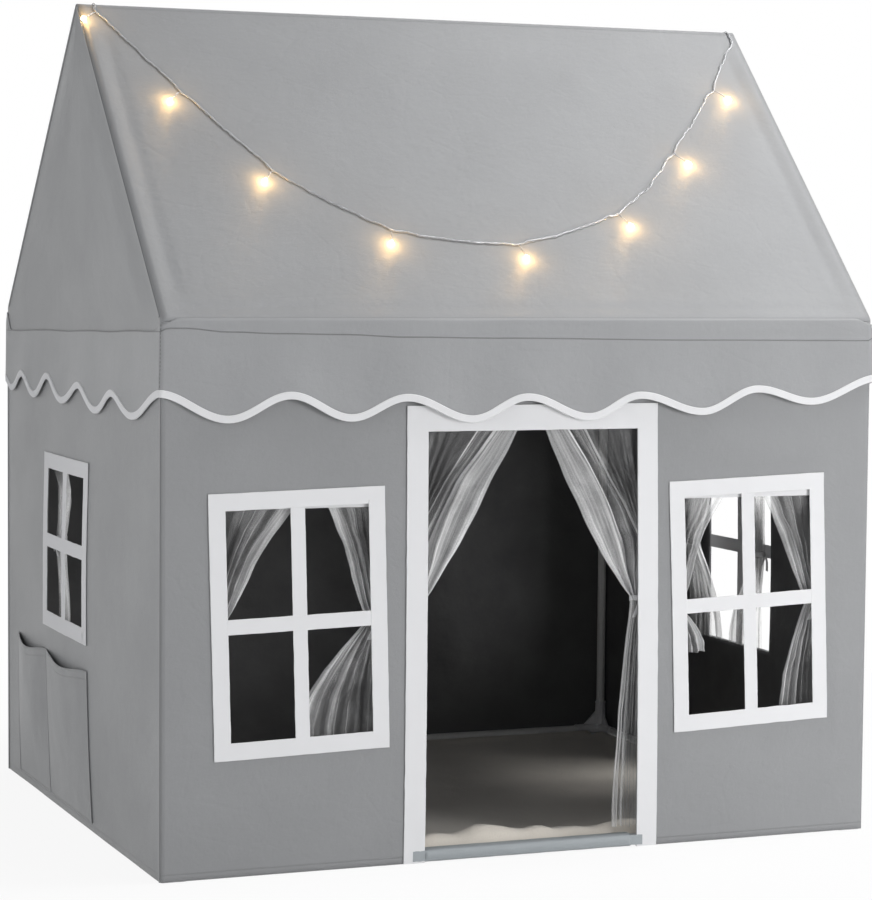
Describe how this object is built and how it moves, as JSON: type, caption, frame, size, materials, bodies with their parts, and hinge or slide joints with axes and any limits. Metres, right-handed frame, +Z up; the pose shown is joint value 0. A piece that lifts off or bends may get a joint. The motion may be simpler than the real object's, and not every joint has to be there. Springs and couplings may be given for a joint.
{
  "type": "play tent",
  "caption": "House-shaped play tent: plug-together tube frame, cloth walls and ridge roof, curtained doorway and windows, scalloped valance and a lamp string.",
  "frame": {"origin": "on the floor at the middle of the tent's footprint", "axes": "+X to the right of someone who faces the doorway, +Y from the doorway to the back wall, +Z up"},
  "size_m": [1.2227, 1.0144, 1.3483],
  "materials": {
    "grey_cloth": "woven polyester-cotton, matt grey",
    "white_tape": "white woven tape",
    "white_tulle": "sheer white net",
    "sleeve_cloth": "blue-grey woven cloth",
    "mat_cloth": "cream cotton",
    "white_tube": "white extruded tube",
    "connector_plastic": "moulded, satin",
    "clear_wire": "clear insulation over twisted silvered wire",
    "lamp_glow": "warm white lamp, lit",
    "box_plastic": "moulded, satin",
    "switch_plastic": "moulded, black",
    "cell_steel": "bare can with a plain sleeve"
  },
  "bodies": {
    "tent": {"base_connector_front_left": "connector_plastic", "base_connector_front_right": "connector_plastic", "base_connector_back_left": "connector_plastic", "base_connector_back_right": "connector_plastic", "eave_connector_front_left": "connector_plastic", "eave_connector_front_right": "connector_plastic", "eave_connector_back_left": "connector_plastic", "eave_connector_back_right": "connector_plastic", "ridge_connector_left": "connector_plastic", "ridge_connector_right": "connector_plastic", "base_tube_front_left": "white_tube", "base_tube_front_right": "white_tube", "base_tube_back_left": "white_tube", "base_tube_back_right": "white_tube", "base_tube_left": "white_tube", "base_tube_right": "white_tube", "eave_tube_front_left": "white_tube", "eave_tube_front_right": "white_tube", "eave_tube_back_left": "white_tube", "eave_tube_back_right": "white_tube", "eave_tube_left": "white_tube", "eave_tube_right": "white_tube", "post_front_left": "white_tube", "post_front_right": "white_tube", "post_back_left": "white_tube", "post_back_right": "white_tube", "rafter_front_left": "white_tube", "rafter_front_right": "white_tube", "rafter_back_left": "white_tube", "rafter_back_right": "white_tube", "ridge_tube_left": "white_tube", "ridge_tube_right": "white_tube", "front_wall": "grey_cloth", "back_wall": "grey_cloth", "left_wall": "grey_cloth", "right_wall": "grey_cloth", "roof_front": "grey_cloth", "roof_rear": "grey_cloth", "valance": "grey_cloth", "scallop_binding": "white_tape", "door_trim": "white_tape", "window_frame_front_left": "white_tape", "window_frame_front_right": "white_tape", "window_frame_left": "white_tape", "window_frame_right": "white_tape", "sill_sleeve": "sleeve_cloth", "wall_pockets": "grey_cloth", "curtains_front_left": "white_tulle", "curtains_front_right": "white_tulle", "curtains_left": "white_tulle", "curtains_right": "white_tulle", "door_curtain_left": "white_tulle", "door_curtain_right": "white_tulle", "floor_mat": "mat_cloth", "lamp_string": "clear_wire", "battery_box": "box_plastic", "battery_cell_left": "cell_steel", "battery_cell_right": "cell_steel"},
    "battery_cover": {"battery_cover": "box_plastic"},
    "power_switch": {"power_switch": "switch_plastic"}
  },
  "joints": [
    {"name": "battery_cover_slide", "type": "slide", "parent": "tent", "child": "battery_cover", "axis": [0, 0.7021, -0.7121], "range_m": [0, 0.05]},
    {"name": "power_switch_slide", "type": "slide", "parent": "tent", "child": "power_switch", "axis": [1, 0, 0], "range_m": [0, 0.003]}
  ]
}
